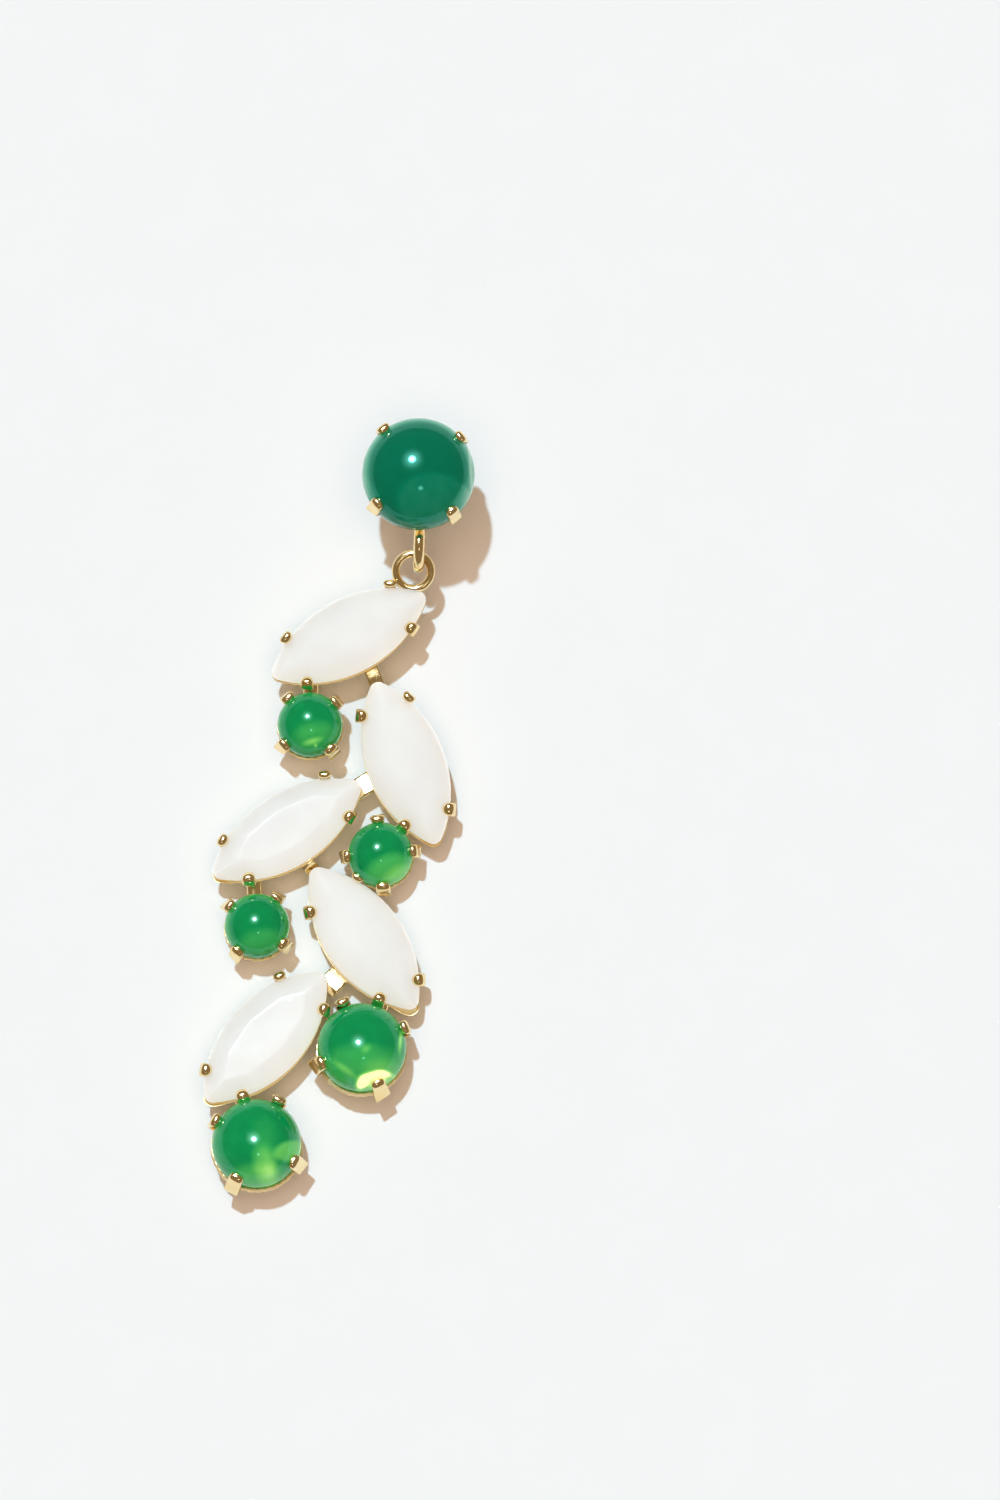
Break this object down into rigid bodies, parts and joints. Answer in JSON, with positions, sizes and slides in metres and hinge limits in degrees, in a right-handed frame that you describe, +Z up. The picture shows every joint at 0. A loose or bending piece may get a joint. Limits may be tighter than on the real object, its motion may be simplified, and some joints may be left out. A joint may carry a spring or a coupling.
{
  "type": "drop earring",
  "caption": "Lying drop earring: round green glass top on an ear post, linked by rings to a vine of white glass navettes and green cabochons in gold claw settings.",
  "frame": {"origin": "under the middle of the whole earring, on the surface that it lies on", "axes": "+Y from the drop's low end to the top's stone, +Z up, out of the stones' faces"},
  "size_m": [0.021, 0.07, 0.0121],
  "materials": {
    "gold_plated_brass": "polished gold plating on stamped and soldered brass",
    "dark_green_glass": "polished translucent dark green glass",
    "green_glass": "polished translucent green glass",
    "white_opal_glass": "pressed white opal glass with a polished table"
  },
  "bodies": {
    "root": {"top_setting": "gold_plated_brass", "drop_setting": "gold_plated_brass", "top_cabochon": "dark_green_glass", "navette_1": "white_opal_glass", "navette_2": "white_opal_glass", "navette_3": "white_opal_glass", "navette_4": "white_opal_glass", "navette_5": "white_opal_glass", "cabochon_1": "green_glass", "cabochon_2": "green_glass", "cabochon_3": "green_glass", "cabochon_4": "green_glass", "cabochon_5": "green_glass"}
  },
  "joints": []
}
